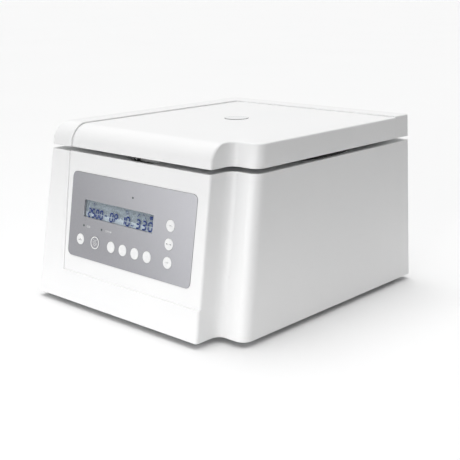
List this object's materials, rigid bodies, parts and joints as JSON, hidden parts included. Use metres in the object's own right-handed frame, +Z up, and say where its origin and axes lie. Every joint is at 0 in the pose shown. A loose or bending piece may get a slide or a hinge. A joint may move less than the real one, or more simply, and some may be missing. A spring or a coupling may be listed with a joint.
{
  "type": "microplate centrifuge",
  "caption": "Bench-top centrifuge for microplates: moulded casing with a sloping control front, hinged lid over a steel chamber, spinning yoke with swinging plate carriers.",
  "frame": {"origin": "on the bench, below the middle of the body's footprint", "axes": "+Z up, the control front faces -Y, +X to the operator's right"},
  "size_m": [0.37, 0.425, 0.2543],
  "materials": {
    "white_casing": "satin moulded, fine texture",
    "zinc_steel": "bright zinc plate",
    "black_rubber": "matt",
    "steel_fastener": "plated",
    "grey_fascia": "satin metallic grey film",
    "clear_window": "clear",
    "display_glass": "pale reflective display",
    "circuit_board": "solder mask",
    "black_plastic": "fine texture",
    "lamp_lens": "dark lens",
    "stainless_bowl": "drawn stainless",
    "motor_casting": "cast",
    "ground_steel": "ground",
    "rotor_aluminium": "anodised",
    "carrier_aluminium": "anodised",
    "brass_pin": "plated",
    "white_key": "flat white"
  },
  "bodies": {
    "casing": {"base_plate": "zinc_steel", "base_screws": "steel_fastener", "chamber_bowl": "stainless_bowl", "chamber_seal": "black_rubber", "control_board": "circuit_board", "control_fascia": "grey_fascia", "deck_leaf_left": "zinc_steel", "deck_leaf_right": "zinc_steel", "display_module": "display_glass", "display_window": "clear_window", "driver_board": "circuit_board", "heat_sink": "rotor_aluminium", "hinge_pins": "ground_steel", "housing": "white_casing", "inlet_pins": "brass_pin", "inlet_screws": "steel_fastener", "key_switches": "black_plastic", "latch_pocket": "black_plastic", "latch_solenoid": "motor_casting", "leaf_screws": "steel_fastener", "motor": "motor_casting", "motor_dampers": "black_rubber", "motor_plate": "zinc_steel", "motor_screws": "steel_fastener", "power_inlet": "black_plastic", "power_supply": "zinc_steel", "rocker_bezel": "black_plastic", "rubber_feet": "black_rubber", "shaft_boot": "black_rubber", "status_lamps": "lamp_lens"},
    "lid": {"lid_shell": "white_casing", "lid_liner": "stainless_bowl", "sight_window": "clear_window", "sight_sleeve": "black_plastic", "lid_screws": "steel_fastener", "lid_striker": "ground_steel", "lid_leaf_left": "zinc_steel", "lid_leaf_right": "zinc_steel"},
    "rotor": {"rotor_shaft": "ground_steel", "rotor_yoke": "rotor_aluminium", "swing_pins": "ground_steel", "rotor_knob": "black_plastic"},
    "left_carrier": {"carrier_left": "carrier_aluminium", "carrier_pad_left": "black_rubber"},
    "right_carrier": {"carrier_right": "carrier_aluminium", "carrier_pad_right": "black_rubber"},
    "rocker": {"power_rocker": "black_plastic"},
    "bolt": {"latch_bolt": "ground_steel"},
    "release_key": {"release_key": "white_key"},
    "pulse_key": {"pulse_key": "grey_fascia"},
    "row_key_1": {"row_key_1": "white_key"},
    "row_key_2": {"row_key_2": "white_key"},
    "row_key_3": {"row_key_3": "white_key"},
    "row_key_4": {"row_key_4": "white_key"},
    "column_key_1": {"column_key_1": "white_key"},
    "column_key_2": {"column_key_2": "white_key"},
    "column_key_3": {"column_key_3": "white_key"}
  },
  "joints": [
    {"name": "lid_hinge", "type": "hinge", "parent": "casing", "child": "lid", "pos_m": [0, 0.20599, 0.2191], "axis": [-1, 0, 0], "range_deg": [0, 80]},
    {"name": "rotor_spin", "type": "hinge", "parent": "casing", "child": "rotor", "pos_m": [0, 0.0205, 0.1], "axis": [0, 0, 1], "continuous": true},
    {"name": "left_carrier_swing", "type": "hinge", "parent": "rotor", "child": "left_carrier", "pos_m": [-0.07, 0.0205, 0.16], "axis": [0, 1, 0], "range_deg": [0, 90]},
    {"name": "right_carrier_swing", "type": "hinge", "parent": "rotor", "child": "right_carrier", "pos_m": [0.07, 0.0205, 0.16], "axis": [0, -1, 0], "range_deg": [0, 90]},
    {"name": "rocker_tilt", "type": "hinge", "parent": "casing", "child": "rocker", "pos_m": [-0.062, 0.203, 0.04969], "axis": [1, 0, 0], "range_deg": [0, 16]},
    {"name": "bolt_slide", "type": "slide", "parent": "casing", "child": "bolt", "axis": [1, 0, 0], "range_m": [0, 0.012], "stiffness_N_per_m": 20},
    {"name": "release_key_press", "type": "slide", "parent": "casing", "child": "release_key", "axis": [0, 0.9873, -0.159], "range_m": [0, 0.0008], "stiffness_N_per_m": 1500},
    {"name": "pulse_key_press", "type": "slide", "parent": "casing", "child": "pulse_key", "axis": [0, 0.9873, -0.159], "range_m": [0, 0.0008], "stiffness_N_per_m": 1500},
    {"name": "row_key_1_press", "type": "slide", "parent": "casing", "child": "row_key_1", "axis": [0, 0.9873, -0.159], "range_m": [0, 0.0008], "stiffness_N_per_m": 1500},
    {"name": "row_key_2_press", "type": "slide", "parent": "casing", "child": "row_key_2", "axis": [0, 0.9873, -0.159], "range_m": [0, 0.0008], "stiffness_N_per_m": 1500},
    {"name": "row_key_3_press", "type": "slide", "parent": "casing", "child": "row_key_3", "axis": [0, 0.9873, -0.159], "range_m": [0, 0.0008], "stiffness_N_per_m": 1500},
    {"name": "row_key_4_press", "type": "slide", "parent": "casing", "child": "row_key_4", "axis": [0, 0.9873, -0.159], "range_m": [0, 0.0008], "stiffness_N_per_m": 1500},
    {"name": "column_key_1_press", "type": "slide", "parent": "casing", "child": "column_key_1", "axis": [0, 0.9873, -0.159], "range_m": [0, 0.0008], "stiffness_N_per_m": 1500},
    {"name": "column_key_2_press", "type": "slide", "parent": "casing", "child": "column_key_2", "axis": [0, 0.9873, -0.159], "range_m": [0, 0.0008], "stiffness_N_per_m": 1500},
    {"name": "column_key_3_press", "type": "slide", "parent": "casing", "child": "column_key_3", "axis": [0, 0.9873, -0.159], "range_m": [0, 0.0008], "stiffness_N_per_m": 1500}
  ]
}
